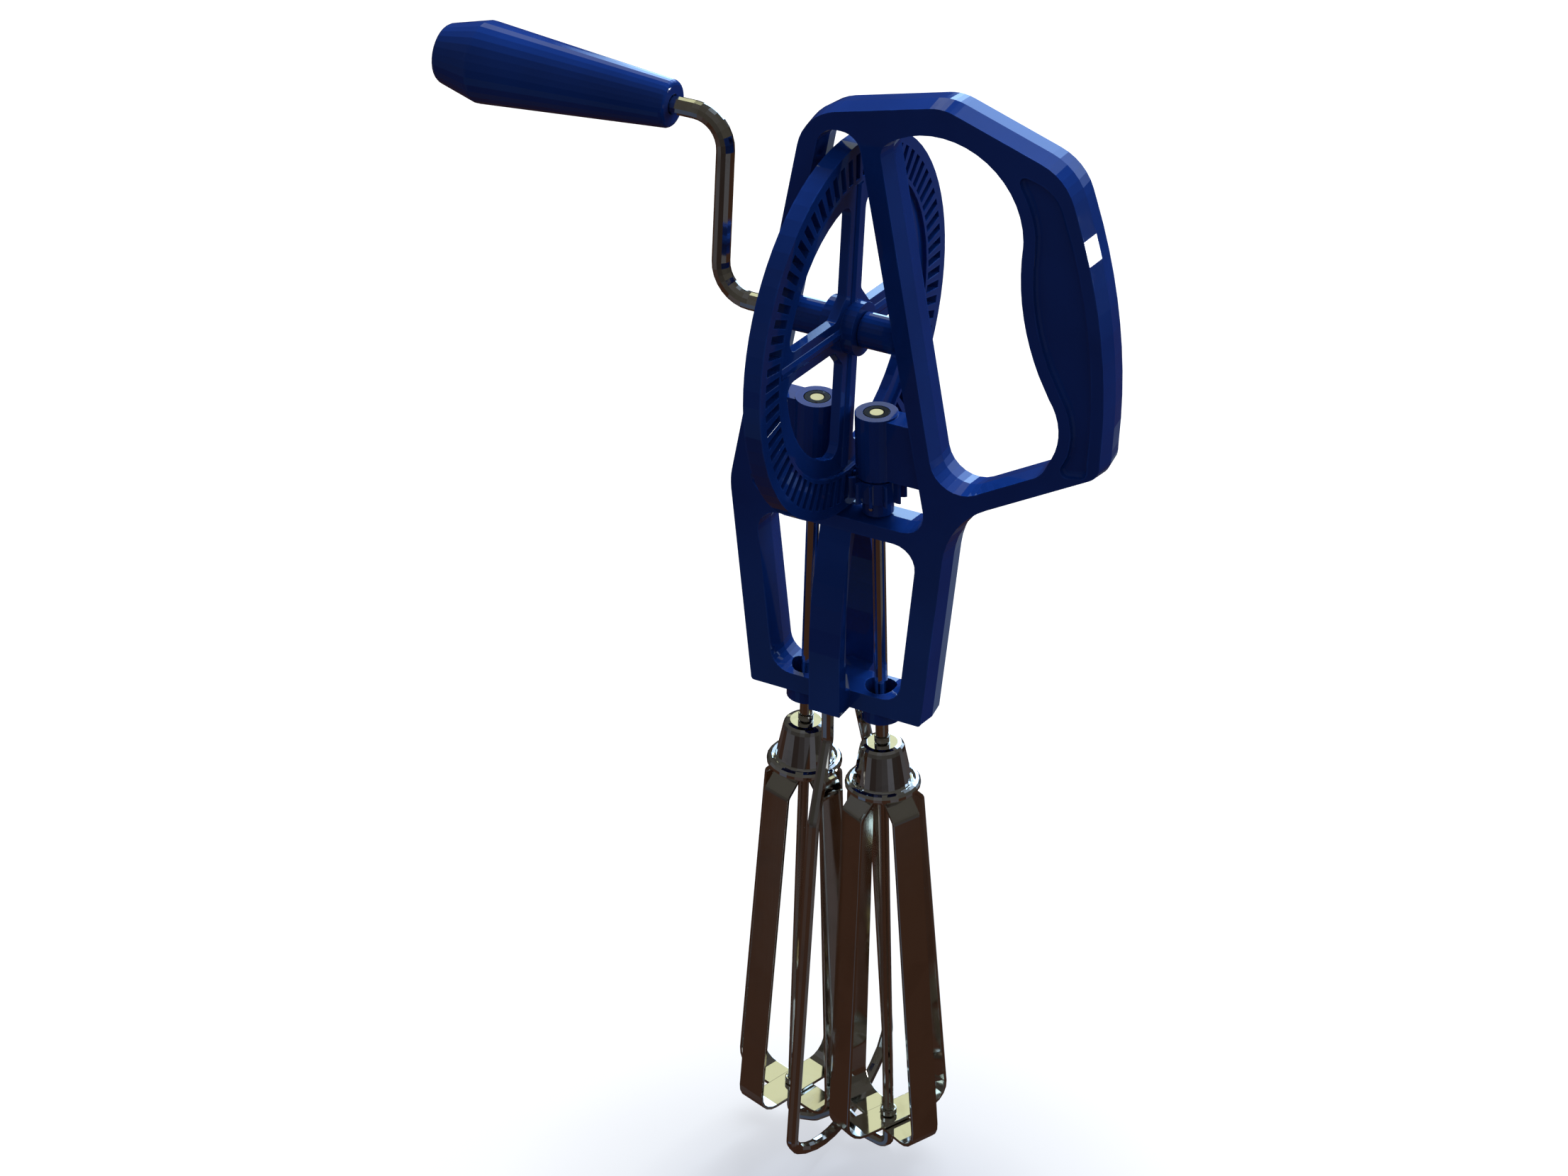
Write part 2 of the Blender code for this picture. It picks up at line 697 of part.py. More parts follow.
def build_crank_rod():
    points = [(x, 0.0, z) for x, z in crank_path()]
    rod = wire("crank_rod", points, ROD_RADIUS, 4)
    hole = cylinder("pin_hole", WHEEL_PIN_RADIUS + CLEARANCE, -HUB_RADIUS, HUB_RADIUS, 8)
    combine(rod, move_mesh(hole, YZ_PLANE @ PIN_DIRECTION), "DIFFERENCE")
    move_mesh(rod, Matrix.Rotation(WHEEL_ANGLE, 4, "X"))
    return finish(rod, steel())


def grip_frame():
    """Grip's own frame: Z runs from its free end towards its small end."""
    centre = Vector((0.0, 0.0, CRANK_THROW))
    centre.rotate(Matrix.Rotation(WHEEL_ANGLE, 3, "X"))
    place = Matrix.Translation((GRIP_SMALL_END - GRIP_LENGTH, centre.y, centre.z))
    return place @ ALONG_X


def build_grip():
    bore = ROD_RADIUS + CLEARANCE
    outer = [
        (0.0050, GRIP_LENGTH), (0.0058, GRIP_LENGTH - 0.0002), (0.0062, GRIP_LENGTH - 0.0010),
        (0.0108, 0.0126), (0.0108, 0.0120), (0.0106, 0.0112), (0.0080, 0.0012), (0.0075, 0.0003),
        (0.0066, 0.0000),
    ]
    recess = WASHER_RADIUS + GAP
    counterbore = [(recess, 0.0), (recess, WASHER_SEAT), (bore, WASHER_SEAT), (bore, GRIP_LENGTH)]
    grip = turned("crank_grip", outer + counterbore, 32)
    move_mesh(grip, grip_frame())
    return finish(grip, blue(), 25.0)


def build_grip_washer():
    top = WASHER_SEAT - GAP
    washer = sleeve("grip_washer", WASHER_RADIUS, ROD_RADIUS + CLEARANCE, top - WASHER_THICKNESS, top, 24)
    move_mesh(washer, grip_frame())
    return finish(washer, steel())


# ---------------------------------------------------------------- pinions and shafts
def pinion_outline(phase):
    """Rounded teeth with straight flanks, one of them pointing along phase."""
    loop = []
    pitch = 2 * math.pi / PINION_TEETH
    flank = [(PINION_ROOT_RADIUS, -0.155), (PINION_PITCH_RADIUS, -0.105), (PINION_TIP_RADIUS, -0.052)]
    for tooth in range(PINION_TEETH):
        middle = phase + tooth * pitch
        for radius, share in flank + [(r, -s) for r, s in reversed(flank)]:
            angle = middle + share * pitch
            loop.append((radius * math.cos(angle), radius * math.sin(angle)))
    return loop


def build_pinion(side, name, phase):
    face_half = (on_shaft(PINION_TOP) - on_shaft(PINION_FACE_BOTTOM)) / 2
    middle = on_shaft(PINION_TOP) - face_half
    pinion = plate(name, [pinion_outline(phase)], face_half)
    move_mesh(pinion, Matrix.Translation((0, 0, middle)))
    hub = cylinder("hub", PINION_HUB_RADIUS, on_shaft(PINION_HUB_BOTTOM), middle, 20)
    combine(pinion, hub, "UNION")
    bore = cylinder("bore", SHAFT_RADIUS + CLEARANCE, on_shaft(PINION_HUB_BOTTOM) - CUT_MARGIN,
                    on_shaft(PINION_TOP) + CUT_MARGIN, 16)
    combine(pinion, bore, "DIFFERENCE")
    combine(pinion, pinion_pin_hole(), "DIFFERENCE")
    return place_on_shaft(finish(pinion, blue(), 30.0), side)


def pinion_pin_solid(name, radius, extra):
    level = on_shaft((PINION_FACE_BOTTOM + PINION_HUB_BOTTOM) / 2)
    half = PINION_HUB_RADIUS + extra
    pin = cylinder(name, radius, -half, half, 8)
    return move_mesh(pin, Matrix.Translation((0, 0, level)) @ ALONG_Y)


def pinion_pin_hole():
    return pinion_pin_solid("pin_hole", PINION_PIN_RADIUS + CLEARANCE, CUT_MARGIN)


def build_pinion_pin(side, name):
    pin = pinion_pin_solid(name, PINION_PIN_RADIUS, PINION_PIN_PROUD)
    return place_on_shaft(finish(pin, steel()), side)


def build_shaft(side, name):
    stem_top = on_shaft(SHOULDER)
    profile = [
        (0.0, on_shaft(SHAFT_TOP)), (SHAFT_RADIUS, on_shaft(SHAFT_TOP)), (SHAFT_RADIUS, stem_top),
        (STEM_RADIUS, stem_top), (STEM_RADIUS, on_shaft(SHAFT_BOTTOM + SHAFT_END_CHAMFER)),
        (STEM_RADIUS - SHAFT_END_CHAMFER, on_shaft(SHAFT_BOTTOM)), (0.0, on_shaft(SHAFT_BOTTOM)),
    ]
    shaft = turned(name, profile, 20)
    combine(shaft, pinion_pin_hole(), "DIFFERENCE")
    return place_on_shaft(finish(shaft, steel()), side)


def build_bush(side, name, outer, low, high):
    bush = sleeve(name, outer, SHAFT_RADIUS + CLEARANCE, on_shaft(low), on_shaft(high), 24)
    return place_on_shaft(finish(bush, black()), side)


# ---------------------------------------------------------------- beaters
def build_collar(side, name):
    collar = sleeve(name, COLLAR_RADIUS, STEM_RADIUS + CLEARANCE, on_shaft(CUP_TOP) + GAP,
                    on_shaft(SHOULDER) - GAP, 20)
    return place_on_shaft(finish(collar, steel()), side)


def build_ferrule(side, name):
    low = on_shaft(BLADE_BOTTOM) + 2 * BLADE_THICKNESS + 2 * GAP
    ferrule = sleeve(name, FERRULE_RADIUS, STEM_RADIUS + CLEARANCE, low, low + FERRULE_LENGTH, 20)
    return place_on_shaft(finish(ferrule, steel()), side)


def cup_profile():
    """Bell with a rolled ring at its mouth, hollow from below."""
    top = on_shaft(CUP_TOP)
    ring = on_shaft(CUP_RING_LEVEL)
    roll = CUP_RING_ROLL
    bore = STEM_RADIUS + CLEARANCE
    roof = top - CUP_WALL
    outer = [
        (0.0042, top), (0.0052, top - 0.0002), (0.0058, top - 0.0008), (0.0061, top - 0.0018),
        (0.0078, ring + 0.0012),
    ]
    rolled = arc(CUP_RING_RADIUS - roll, ring, roll, 130.0, -130.0, 7)
    inner = [
        (0.0070, ring + 0.0002), (0.0054, top - 2 * CUP_WALL), (0.0046, roof), (bore, roof), (bore, top),
    ]
    return outer + rolled + inner


def build_cup(side, name):
    cup = turned(name, cup_profile(), 28)
    return place_on_shaft(finish(cup, chrome(), 40.0), side)


def blade_path(lift):
    """Half of a U-shaped strip as (radius, height), from the cup down to the axis."""
    top = on_shaft(BLADE_TOP)
    bottom = on_shaft(BLADE_BOTTOM) + BLADE_THICKNESS / 2 + lift
    end = (BLADE_TUCK, on_shaft(CUP_RING_LEVEL) + GAP)
    mouth = (BLADE_TUCK, on_shaft(CUP_RING_LEVEL) - BLADE_MOUTH)
    shoulder = rounded((BLADE_TOP_RADIUS, top), mouth, (BLADE_BOTTOM_RADIUS, bottom), BLADE_SHOULDER, 3)
    heel = rounded((BLADE_BOTTOM_RADIUS, bottom), (BLADE_TOP_RADIUS, top), (0.0, bottom),
                   BLADE_CORNER, 5)
    return [end, mouth] + shoulder + heel


def build_blade(side, name, angle, lift):
    half = blade_path(lift)
    mirrored = [(-x, z) for x, z in reversed(half)]
    strip = plate(name, [thickened(half + mirrored, BLADE_THICKNESS)], BLADE_HALF_WIDTH)
    move_mesh(strip, XZ_PLANE)
    low = on_shaft(BLADE_BOTTOM) - CUT_MARGIN
    high = on_shaft(BLADE_BOTTOM) + lift + BLADE_THICKNESS + CUT_MARGIN
    combine(strip, cylinder("hole", STEM_RADIUS + CLEARANCE, low, high, 16), "DIFFERENCE")
    move_mesh(strip, Matrix.Rotation(angle, 4, "Z"))
    return place_on_shaft(finish(strip, steel()), side)


# ---------------------------------------------------------------- guard
def bow_path():
    """Centre line of the guard wire as (y, z), from the front socket to the rear one."""
    sag = BOW_SAG_RADIUS - math.sqrt(BOW_SAG_RADIUS ** 2 - BOW_CHIN ** 2)
    chin = (BOW_CHIN, BOW_BOTTOM + sag)
    corner = (BOW_HALF_WIDTH, chin[1] + BOW_CHIN_RISE)
    top = (SOCKET_Y, BAR_UNDERSIDE + SOCKET_DEPTH - GAP)
    neck = (SOCKET_Y, BOW_NECK)
    half = [top]
    half += rounded(neck, top, BOW_KNEE, 0.0060, 4)
    half += rounded(BOW_KNEE, neck, corner, 0.0080, 4)
    half += rounded(corner, BOW_KNEE, chin, 0.0030, 5)
    angle = math.degrees(math.asin(BOW_CHIN / BOW_SAG_RADIUS))
    bottom = arc(0.0, BOW_BOTTOM + BOW_SAG_RADIUS, BOW_SAG_RADIUS, -90.0 + angle, -90.0 - angle, 10)
    return half + bottom + [(-y, z) for y, z in reversed(half)]


def build_bow():
    points = [(0.0, y, z) for y, z in bow_path()]
    return finish(wire("guard_bow", points, WIRE_RADIUS, 3), steel())


def build_yoke():
    """Cross wire over the bow, with its turned-up ends under the two shafts."""
    crest = BOW_BOTTOM + 2 * WIRE_RADIUS + GAP
    end_x = PITCH_OFFSET + SHAFT_SLOPE * (PITCH_LEVEL - SHAFT_BOTTOM)
    tip = (end_x, SHAFT_BOTTOM - YOKE_END_GAP)
    elbow = (end_x, YOKE_LEVEL - YOKE_DIP)
    valley = (end_x * 0.55, YOKE_LEVEL)
    half = [tip]
    half += rounded(elbow, tip, valley, 0.0024, 5)
    half += rounded(valley, elbow, (0.0, crest), 0.0080, 3)
    half += [(end_x / 6, crest)]
    points = [(x, 0.0, z) for x, z in half]
    points += [(-x, 0.0, z) for x, z in reversed(half)]
    return finish(wire("guard_yoke", points, WIRE_RADIUS, 3), steel())


# ---------------------------------------------------------------- assembly
AXES = {}


def axis_empty(name, matrix):
    """An empty on a joint's axis that carries the pieces that turn about it."""
    empty = bpy.data.objects.new(name, None)
    collection("egg_beater").objects.link(empty)
    empty.matrix_world = Matrix.Translation((0, 0, AXLE_HEIGHT)) @ matrix
    AXES[name] = empty
    return empty


def hang(part, axis_name):
    """Parent a part to an axis; the part's mesh is already in the axis's own frame."""
    part.parent = AXES[axis_name]
    return part


def place_on_shaft(part, side):
    return hang(part, "left_beater_axis" if side < 0 else "right_beater_axis")


def pinion_phase(side):
    """Turn of a pinion that puts a tooth into the slot nearest its shaft."""
    pitch = 2 * math.pi / WHEEL_TEETH
    lowest = -math.pi / 2 - WHEEL_ANGLE
    nearest = round(lowest / pitch) * pitch
    offset = nearest - lowest
    facing = 0.0 if side < 0 else math.pi
    return facing - side * offset * WHEEL_TEETH / PINION_TEETH


def build_beater(side, prefix, blade_angle):
    build_bush(side, prefix + "_top_bush", BUSH_RADIUS, BOSS_BOTTOM, BOSS_TOP)
    build_bush(side, prefix + "_lower_bush", LOWER_BORE_RADIUS - CLEARANCE,
               LOWER_BOSS_BOTTOM + LOWER_BUSH_RECESS, LOWER_BUSH_TOP)
    build_shaft(side, prefix + "_shaft")
    build_pinion(side, prefix + "_pinion", pinion_phase(side))
    build_pinion_pin(side, prefix + "_pinion_pin")
    build_collar(side, prefix + "_collar")
    build_cup(side, prefix + "_cup")
    build_blade(side, prefix + "_blade_a", blade_angle, 0.0)
    build_blade(side, prefix + "_blade_b", blade_angle + math.pi / 2, BLADE_THICKNESS + GAP)
    build_ferrule(side, prefix + "_ferrule")


def main():
    clear_scene()
    axis_empty("frame_axis", Matrix())
    axis_empty("crank_axis", Matrix())
    axis_empty("grip_axis", grip_frame())
    axis_empty("left_beater_axis", shaft_matrix(-1))
    axis_empty("right_beater_axis", shaft_matrix(1))
    for part in (build_frame(), build_bow(), build_yoke()):
        hang(part, "frame_axis")
    for part in (build_wheel(), build_wheel_pin(), build_crank_rod()):
        hang(part, "crank_axis")
    for part in (build_grip(), build_grip_washer()):
        move_mesh(part, grip_frame().inverted())
        hang(part, "grip_axis")
    build_beater(-1, "left", LEFT_BLADE_ANGLE)
    build_beater(1, "right", RIGHT_BLADE_ANGLE)


main()
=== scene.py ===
"""Looks of the hand-cranked egg beater: materials, edge rounding, studio and camera."""

import json
import math

import bpy
from mathutils import Matrix, Vector


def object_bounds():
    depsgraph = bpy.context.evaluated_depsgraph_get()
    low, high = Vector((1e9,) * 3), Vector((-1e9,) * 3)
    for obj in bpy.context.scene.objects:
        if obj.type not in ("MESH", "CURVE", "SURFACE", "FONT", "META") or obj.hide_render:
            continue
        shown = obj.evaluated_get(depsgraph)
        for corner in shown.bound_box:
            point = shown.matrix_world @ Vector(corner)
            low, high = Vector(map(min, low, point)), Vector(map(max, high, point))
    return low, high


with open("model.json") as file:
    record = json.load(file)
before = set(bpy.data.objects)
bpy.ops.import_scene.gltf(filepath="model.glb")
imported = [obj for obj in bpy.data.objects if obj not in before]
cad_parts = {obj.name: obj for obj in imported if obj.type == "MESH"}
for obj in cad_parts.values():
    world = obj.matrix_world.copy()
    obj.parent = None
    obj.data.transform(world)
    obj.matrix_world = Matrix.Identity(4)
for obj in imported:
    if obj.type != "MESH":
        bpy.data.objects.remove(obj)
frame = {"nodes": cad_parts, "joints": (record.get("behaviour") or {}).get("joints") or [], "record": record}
CAD_LOW, CAD_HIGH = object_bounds()

# ---------------------------------------------------------------- camera
# Lengths are in metres, and the lens and sensor in millimetres
VIEW_AZIMUTH = math.radians(28.29)
VIEW_ELEVATION = math.radians(31.19)
CAMERA_FROM_AXLE = Vector((0.4213, -0.8162, 0.4792))
LENS = 95.06
SENSOR_WIDTH = 36.0
NEAREST_SEEN = 0.05
FARTHEST_SEEN = 50.0

# ---------------------------------------------------------------- colours
BLUE = (0.0045, 0.0265, 0.1650, 1.0)
BLUE_DEEP = (0.0036, 0.0215, 0.1350, 1.0)
# Lighter blue on the edges: partly worn plastic, partly a painted edge highlight
BLUE_EDGE_WEAR_AND_HIGHLIGHT = (0.0120, 0.0600, 0.3200, 1.0)
STEEL = (0.820, 0.790, 0.720, 1.0)
STEEL_TARNISH = (0.560, 0.500, 0.420, 1.0)
CHROME = (0.900, 0.895, 0.860, 1.0)
CHROME_DULL = (0.700, 0.690, 0.650, 1.0)
RUBBER = (0.008, 0.008, 0.009, 1.0)
RUBBER_DUSTY = (0.030, 0.029, 0.028, 1.0)
WHITE = (1.0, 1.0, 1.0, 1.0)
SKY = (0.90, 0.95, 1.0)

# ---------------------------------------------------------------- edges of the CAD nodes
# Edge rounding of each family of nodes: width in metres and steps
ROUNDING = {
    "frame": (0.00045, 3), "drive_wheel": (0.00022, 2), "crank_grip": (0.00030, 2),
    "pinion": (0.00018, 2), "blade": (0.00016, 2), "collar": (0.00020, 2),
    "ferrule": (0.00020, 2), "bush": (0.00020, 2), "washer": (0.00020, 2),
}
ROUNDED_ABOVE = math.radians(32.0)
WELD_DISTANCE = 0.000005
NORMAL_WEIGHT = 60              # above 50, large faces lead the shading
RIDGE_BAND = 0.00001            # how near the middle plane a ridge edge lies
RIDGE_ANGLE = math.radians(6.0)

# ---------------------------------------------------------------- studio
# Studio seen in reflections, by height of the direction, -1 to 1 mapped to 0 to 1
REFLECTED_STOPS = (
    (0.00, (0.040, 0.018, 0.012)), (0.30, (0.040, 0.020, 0.013)), (0.37, (0.020, 0.015, 0.014)),
    (0.50, (0.036, 0.034, 0.031)), (0.62, (0.052, 0.049, 0.043)), (1.00, (0.062, 0.060, 0.056)),
)
STREAK = (0.095, 0.100, 0.115, 1.0)
# Softboxes: (azimuth, height), (half width in degrees, half height), softness, colour
SOFTBOXES = (
    ((92.0, -0.57), (7.0, 0.05), 0.06, (0.16, 0.20, 0.26)),
    ((-120.0, -0.62), (10.0, 0.09), 0.03, (0.06, 0.08, 0.13)),
    ((-30.0, -0.30), (6.0, 0.20), 0.10, (0.07, 0.07, 0.08)),
    ((-20.0, -0.38), (2.0, 0.22), 0.02, (0.80, 0.86, 0.95)),
    ((78.0, 0.40), (12.0, 0.30), 0.14, (0.70, 0.95, 1.30)),
    ((97.0, 0.34), (6.0, 0.33), 0.03, (1.40, 2.20, 3.40)),
    ((108.0, 0.50), (4.0, 0.16), 0.02, (2.00, 3.00, 4.20)),
    ((109.0, 0.18), (6.0, 0.21), 0.02, (2.30, 3.60, 5.20)),
    ((120.0, 0.57), (8.0, 0.15), 0.01, (0.76, 0.81, 0.55)),
    ((43.5, -0.127), (2.4, 0.022), 0.003, (22.0, 23.0, 24.0)),
)
SOFT_DEGREES = 60.0             # degrees that a softness of 1 adds to a softbox's side
# Light on matt surfaces, by height like the reflected studio
LIGHTING_STOPS = (
    (0.00, (0.06, 0.05, 0.05)), (0.35, (0.10, 0.09, 0.09)), (0.50, (0.24, 0.25, 0.26)),
    (0.65, (0.42, 0.44, 0.46)), (1.00, (0.50, 0.52, 0.55)),
)
# Lamps: name, place from the object's middle, size in metres, power in watts
LAMPS = (
    ("key_back", Vector((-0.13, 0.85, 0.97)), (0.7, 0.6), 33.0),
    ("side_right", Vector((1.0, 0.75, 0.35)), (0.6, 0.9), 8.0),
)

# ---------------------------------------------------------------- floor
FLOOR_SIZE = 8.0
FLOOR_GLOW = 1.08
FLOOR_MATT_SHARE = 0.15
SHADE_OFFSET = Vector((0.024, -0.046, 0.0))
SHADE_REACH = 0.42
# Colour of the floor by distance from the shade's middle, 1 at its reach
SHADE_STOPS = (
    (0.07, (0.57, 0.60, 0.67)), (0.16, (0.76, 0.78, 0.82)), (0.24, (0.86, 0.87, 0.89)),
    (0.38, (0.92, 0.92, 0.94)), (0.60, (0.96, 0.96, 0.97)), (1.00, (1.0, 1.0, 1.0)),
)


# ---------------------------------------------------------------- node helpers
def add(tree, kind, **values):
    """A new node of a node tree, with its properties set."""
    node = tree.nodes.new(kind)
    for key, value in values.items():
        setattr(node, key, value)
    return node


def feed(tree, source, target):
    """Set an input socket from a number, a colour or another node's output."""
    if isinstance(source, bpy.types.NodeSocket):
        tree.links.new(source, target)
    else:
        target.default_value = source


def new_material(name):
    made = bpy.data.materials.new(name)
    made.use_nodes = True
    return made, made.node_tree, made.node_tree.nodes["Principled BSDF"]


def noise(tree, scale, detail, stretch=(1.0, 1.0, 1.0), distortion=0.0, source="Object"):
    """Noise over a texture coordinate; on a piece, scale is in waves per metre."""
    place = add(tree, "ShaderNodeTexCoord")
    mapping = add(tree, "ShaderNodeMapping")
    texture = add(tree, "ShaderNodeTexNoise")
    feed(tree, stretch, mapping.inputs["Scale"])
    feed(tree, scale, texture.inputs["Scale"])
    feed(tree, detail, texture.inputs["Detail"])
    feed(tree, distortion, texture.inputs["Distortion"])
    feed(tree, place.outputs[source], mapping.inputs["Vector"])
    feed(tree, mapping.outputs["Vector"], texture.inputs["Vector"])
    return texture.outputs["Fac"]


def remap(tree, value, span, result):
    """A value's place in one span, as the same place in another, clamped."""
    node = add(tree, "ShaderNodeMapRange", clamp=True)
    feed(tree, value, node.inputs["Value"])
    for key, number in zip(("From Min", "From Max", "To Min", "To Max"), (*span, *result)):
        feed(tree, number, node.inputs[key])
    return node.outputs["Result"]


def mix_colour(tree, factor, first, second):
    """Blend of two colours, each a value or a socket."""
    node = add(tree, "ShaderNodeMix", data_type="RGBA")
    first_colour, second_colour = [one for one in node.inputs if one.type == "RGBA"]
    feed(tree, factor, node.inputs["Factor"])
    feed(tree, first, first_colour)
    feed(tree, second, second_colour)
    return next(one for one in node.outputs if one.type == "RGBA")


def maths(tree, operation, first, second=0.0):
    node = add(tree, "ShaderNodeMath", operation=operation)
    feed(tree, first, node.inputs[0])
    feed(tree, second, node.inputs[1])
    return node.outputs["Value"]


def bump(tree, height, distance, strength, after=None):
    """Normals of a height map, on top of another bump's if one is given."""
    node = add(tree, "ShaderNodeBump")
    feed(tree, strength, node.inputs["Strength"])
    feed(tree, distance, node.inputs["Distance"])
    feed(tree, height, node.inputs["Height"])
    if after is not None:
        feed(tree, after, node.inputs["Normal"])
    return node.outputs["Normal"]


def ramp(tree, value, stops):
    """Colour by value; each stop is a place from 0 to 1 and a colour."""
    node = add(tree, "ShaderNodeValToRGB")
    points = node.color_ramp.elements
    while len(points) < len(stops):
        points.new(0.5)
    for point, (place, colour) in zip(points, stops):
        point.position = place
        point.color = (*colour, 1.0)
    feed(tree, value, node.inputs["Fac"])
    return node.outputs["Color"]


def edge_mask(tree, radius):
    """1 on sharp outer edges and corners, 0 on open surface."""
    rounded = add(tree, "ShaderNodeBevel", samples=4)
    feed(tree, radius, rounded.inputs["Radius"])
    geometry = add(tree, "ShaderNodeNewGeometry")
    dot = add(tree, "ShaderNodeVectorMath", operation="DOT_PRODUCT")
    feed(tree, rounded.outputs["Normal"], dot.inputs[0])
    feed(tree, geometry.outputs["Normal"], dot.inputs[1])
    return remap(tree, dot.outputs["Value"], (0.80, 0.995), (1.0, 0.0))


# ---------------------------------------------------------------- materials
def blue_plastic():
    """Glossy moulded plastic: mottled pigment, faint ripples, hairline scuffs, and edges painted lighter,
    partly as wear and partly as a painted edge highlight.
    """
    made, tree, shader = new_material("blue_plastic")
    cloud = noise(tree, scale=38.0, detail=4.0)
    pigment = mix_colour(tree, remap(tree, cloud, (0.35, 0.65), (0.0, 1.0)), BLUE_DEEP, BLUE)
    scuff = noise(tree, scale=240.0, detail=6.0, stretch=(1.0, 1.0, 0.16), distortion=0.8)
    scuffed = remap(tree, scuff, (0.60, 0.74), (0.0, 0.05))
    patchy = remap(tree, scuff, (0.42, 0.62), (0.0, 0.5))
    # Edges painted lighter and rougher: partly wear, partly a painted edge highlight
    edge_wear_and_highlight = maths(tree, "MULTIPLY", edge_mask(tree, 0.0009), patchy)
    feed(tree, mix_colour(tree, edge_wear_and_highlight, pigment, BLUE_EDGE_WEAR_AND_HIGHLIGHT), shader.inputs["Base Color"])
    smear = noise(tree, scale=95.0, detail=5.0, distortion=1.4)
    rough = maths(tree, "ADD", remap(tree, smear, (0.40, 0.72), (0.030, 0.075)), scuffed)
    rough = maths(tree, "ADD", rough, maths(tree, "MULTIPLY", edge_wear_and_highlight, 0.06))
    feed(tree, rough, shader.inputs["Roughness"])
    feed(tree, 1.49, shader.inputs["IOR"])
    ripple = bump(tree, noise(tree, scale=520.0, detail=2.0), 0.00002, 0.08)
    speck = noise(tree, scale=2600.0, detail=2.0)
    feed(tree, bump(tree, speck, 0.000006, 0.08, after=ripple), shader.inputs["Normal"])
    return made


def dark_steel():
    """Drawn and polished steel: hairlines along its length, brown tarnish, faint waviness."""
    made, tree, shader = new_material("dark_steel")
    stain = noise(tree, scale=60.0, detail=6.0, distortion=0.6)
    tarnish = remap(tree, stain, (0.50, 0.75), (0.0, 0.55))
    corner = maths(tree, "MULTIPLY", edge_mask(tree, 0.0005), 0.35)
    worn = maths(tree, "MAXIMUM", tarnish, corner)
    feed(tree, mix_colour(tree, worn, STEEL, STEEL_TARNISH), shader.inputs["Base Color"])
    feed(tree, 1.0, shader.inputs["Metallic"])
    hairline = noise(tree, scale=1500.0, detail=4.0, stretch=(1.0, 1.0, 0.012))
    smear = remap(tree, noise(tree, scale=120.0, detail=4.0), (0.35, 0.70), (0.03, 0.08))
    rough = maths(tree, "ADD", smear, maths(tree, "MULTIPLY", hairline, 0.03))
    rough = maths(tree, "ADD", rough, maths(tree, "MULTIPLY", tarnish, 0.10))
    feed(tree, rough, shader.inputs["Roughness"])
    drawn = bump(tree, hairline, 0.000008, 0.22)
    wave = noise(tree, scale=45.0, detail=1.0)
    feed(tree, bump(tree, wave, 0.00008, 0.10, after=drawn), shader.inputs["Normal"])
    return made


def chrome():
    """Bright plate over a spun bell: turning marks round the axis and dull smudges."""
    made, tree, shader = new_material("chrome")
    smudge = noise(tree, scale=150.0, detail=5.0, distortion=1.0)
    dull = remap(tree, smudge, (0.52, 0.76), (0.0, 0.6))
    feed(tree, mix_colour(tree, dull, CHROME, CHROME_DULL), shader.inputs["Base Color"])
    feed(tree, 1.0, shader.inputs["Metallic"])
    feed(tree, remap(tree, dull, (0.0, 0.6), (0.035, 0.11)), shader.inputs["Roughness"])
    rings = bump(tree, noise(tree, scale=900.0, detail=2.0, stretch=(0.03, 0.03, 1.0)), 0.000010, 0.25)
    wave = noise(tree, scale=70.0, detail=1.0)
    feed(tree, bump(tree, wave, 0.00010, 0.12, after=rings), shader.inputs["Normal"])
    return made


def black_bush():
    """Dense black bearing material with a dusty, finely turned surface."""
    made, tree, shader = new_material("black_bush")
    dust = remap(tree, noise(tree, scale=420.0, detail=5.0), (0.55, 0.80), (0.0, 0.5))
    feed(tree, mix_colour(tree, dust, RUBBER, RUBBER_DUSTY), shader.inputs["Base Color"])
    feed(tree, remap(tree, dust, (0.0, 0.5), (0.42, 0.62)), shader.inputs["Roughness"])
    feed(tree, 0.08, shader.inputs["Specular IOR Level"])
    grain = noise(tree, scale=1800.0, detail=2.0)
    feed(tree, bump(tree, grain, 0.00001, 0.3), shader.inputs["Normal"])
    return made


# ---------------------------------------------------------------- CAD nodes
def rounding_of(name):
    """The rounding of a node's family, or None where its edges stay as they are."""
    return next((sizes for key, sizes in ROUNDING.items() if key in name), None)


def ridge_group():
    """Node group that keeps the shading crisp along edges in the plate's middle plane."""
    group = bpy.data.node_groups.new("ridge", "GeometryNodeTree")
    for way in ("INPUT", "OUTPUT"):
        group.interface.new_socket("Geometry", in_out=way, socket_type="NodeSocketGeometry")
    before = add(group, "NodeGroupInput")
    after = add(group, "NodeGroupOutput")
    place = add(group, "GeometryNodeInputPosition")
    split = add(group, "ShaderNodeSeparateXYZ")
    feed(group, place.outputs["Position"], split.inputs["Vector"])
    angle = add(group, "GeometryNodeInputMeshEdgeAngle")
    off_plane = maths(group, "ABSOLUTE", split.outputs["Y"])
    in_plane = maths(group, "LESS_THAN", off_plane, RIDGE_BAND)
    bent = maths(group, "GREATER_THAN", angle.outputs["Unsigned Angle"], RIDGE_ANGLE)
    shade = add(group, "GeometryNodeSetShadeSmooth", domain="EDGE")
    feed(group, False, shade.inputs["Shade Smooth"])
    feed(group, before.outputs["Geometry"], shade.inputs["Geometry"])
    feed(group, maths(group, "MULTIPLY", in_plane, bent), shade.inputs["Selection"])
    feed(group, shade.outputs["Geometry"], after.inputs["Geometry"])
    return group


